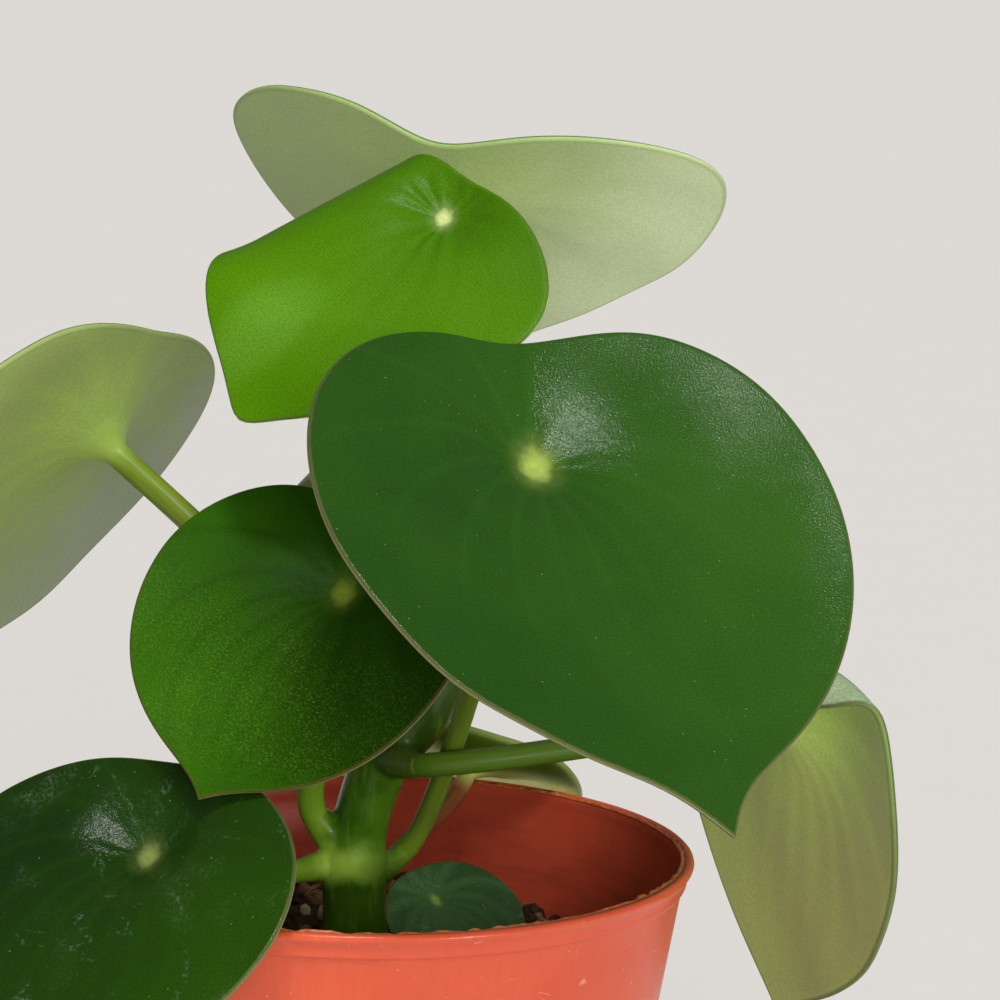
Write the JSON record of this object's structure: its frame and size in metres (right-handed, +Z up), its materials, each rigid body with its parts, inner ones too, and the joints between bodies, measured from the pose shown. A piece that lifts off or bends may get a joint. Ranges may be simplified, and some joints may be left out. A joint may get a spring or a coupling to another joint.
{
  "type": "potted peperomia",
  "caption": "Raindrop peperomia: glossy drop-shaped leaves held from their undersides by curved stalks on a short thick stem, in a thin tapered round nursery pot with a rolled lip.",
  "frame": {"origin": "middle of the pot's flat underside", "axes": "+Z up along the pot's axis; -Y is the front, which the large front leaf faces; +X to the viewer's right"},
  "size_m": [0.1883, 0.1941, 0.231],
  "materials": {
    "pot": "satin terracotta-coloured moulded plastic",
    "soil": "rough dark potting soil of peat, bark and grit",
    "stem": "smooth fleshy green plant stem",
    "leaf": "glossy fleshy leaf, dark green above and pale matte green below"
  },
  "bodies": {
    "root": {"pot": "pot", "soil": "soil", "main_stem": "stem", "leaf_front_large": "leaf", "leaf_front_left": "leaf", "leaf_low_left": "leaf", "leaf_folded": "leaf", "leaf_top_back": "leaf", "leaf_left_back": "leaf", "leaf_right_hanging": "leaf", "leaf_low_back": "leaf", "leaf_small_front": "leaf", "leaf_young": "leaf"}
  },
  "joints": []
}
